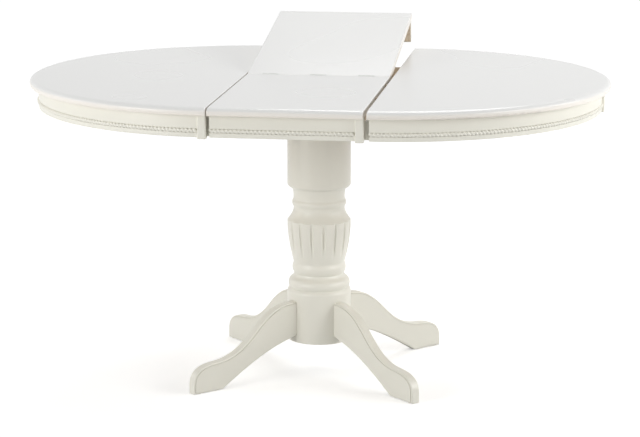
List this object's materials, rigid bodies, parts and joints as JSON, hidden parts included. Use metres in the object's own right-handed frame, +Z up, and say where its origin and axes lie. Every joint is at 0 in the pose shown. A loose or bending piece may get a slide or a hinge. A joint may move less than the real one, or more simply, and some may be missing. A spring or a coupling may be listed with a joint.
{
  "type": "extendable dining table",
  "caption": "Round pedestal dining table with turned, fluted column, four curved legs and rope-moulded aprons; half-round tops slide apart for a hinged fold-over leaf.",
  "frame": {"origin": "on the floor, on the axis of the column, at the centre of the extended table", "axes": "+X along the extension towards the right half, -Y the front, +Z up"},
  "size_m": [1.4308, 1.065, 0.8444],
  "materials": {
    "top_lacquer": "satin white lacquer",
    "ivory_lacquer": "satin ivory lacquer",
    "bare_wood": "planed, unpainted",
    "zinc_steel": "zinc plated",
    "black_steel": "black powder coat",
    "white_hinge": "painted to match the top",
    "nylon": "moulded nylon",
    "glide_plastic": "moulded plastic"
  },
  "bodies": {
    "pedestal": {"column": "ivory_lacquer", "leg_front_left": "ivory_lacquer", "leg_front_right": "ivory_lacquer", "leg_rear_left": "ivory_lacquer", "leg_rear_right": "ivory_lacquer", "leg_bolts": "zinc_steel", "leg_nuts": "zinc_steel", "foot_glides": "glide_plastic", "column_plate": "black_steel", "plate_screws": "zinc_steel", "bearer_front": "bare_wood", "bearer_rear": "bare_wood", "cross_rail_left": "bare_wood", "cross_rail_right": "bare_wood", "fixed_rail_front": "bare_wood", "fixed_rail_rear": "bare_wood", "rail_screws": "zinc_steel", "pinion_axles": "zinc_steel", "axle_spacers": "nylon", "front_leaf": "top_lacquer", "front_leaf_apron": "ivory_lacquer", "front_leaf_rope": "ivory_lacquer", "front_leaf_block": "ivory_lacquer", "leaf_dowels": "bare_wood", "leaf_keepers": "zinc_steel", "hinge_front_plates": "white_hinge", "hinge_pins": "white_hinge"},
    "left_half": {"left_top": "top_lacquer", "left_apron": "ivory_lacquer", "left_rope": "ivory_lacquer", "left_blocks": "ivory_lacquer", "left_battens": "ivory_lacquer", "left_runners": "bare_wood", "left_racks": "zinc_steel", "left_screws": "zinc_steel", "left_button_plate": "zinc_steel", "left_button_rivet": "zinc_steel"},
    "right_half": {"right_top": "top_lacquer", "right_apron": "ivory_lacquer", "right_rope": "ivory_lacquer", "right_block": "ivory_lacquer", "right_battens": "ivory_lacquer", "right_runners": "bare_wood", "right_racks": "zinc_steel", "right_screws": "zinc_steel", "right_dowels": "bare_wood", "right_button_plate": "zinc_steel", "right_button_rivet": "zinc_steel"},
    "rear_leaf_half": {"rear_leaf": "top_lacquer", "rear_leaf_apron": "ivory_lacquer", "rear_leaf_rope": "ivory_lacquer", "rear_leaf_block": "ivory_lacquer", "hinge_rear_plates": "white_hinge"},
    "front_pinion": {"pinion_front": "nylon"},
    "rear_pinion": {"pinion_rear": "nylon"},
    "left_button": {"left_turn_button": "zinc_steel"},
    "right_button": {"right_turn_button": "zinc_steel"}
  },
  "joints": [
    {"name": "left_slide", "type": "slide", "parent": "pedestal", "child": "left_half", "axis": [-1, 0, 0], "range_m": [-0.0015, 0.02]},
    {"name": "right_slide", "type": "slide", "parent": "pedestal", "child": "right_half", "axis": [1, 0, 0], "range_m": [-0.0015, 0.02]},
    {"name": "leaf_fold", "type": "hinge", "parent": "pedestal", "child": "rear_leaf_half", "pos_m": [0, 0, 0.75025], "axis": [1, 0, 0], "range_deg": [-10.5, 169.5]},
    {"name": "front_pinion_turn", "type": "hinge", "parent": "pedestal", "child": "front_pinion", "pos_m": [0, -0.3193, 0.697], "axis": [0, 1, 0], "range_deg": [-83, 7]},
    {"name": "rear_pinion_turn", "type": "hinge", "parent": "pedestal", "child": "rear_pinion", "pos_m": [0, 0.3193, 0.697], "axis": [0, 1, 0], "range_deg": [-83, 7]},
    {"name": "left_button_turn", "type": "hinge", "parent": "left_half", "child": "left_button", "pos_m": [-0.209, -0.4, 0.7277], "axis": [0, 0, 1], "range_deg": [0, 90]},
    {"name": "right_button_turn", "type": "hinge", "parent": "right_half", "child": "right_button", "pos_m": [0.209, -0.4, 0.7277], "axis": [0, 0, -1], "range_deg": [0, 90]}
  ],
  "couplings": [
    {"joint": "right_slide", "follows": "left_slide", "ratio": 1},
    {"joint": "front_pinion_turn", "follows": "left_slide", "rad_per_m": -71.429},
    {"joint": "rear_pinion_turn", "follows": "left_slide", "rad_per_m": -71.429}
  ]
}
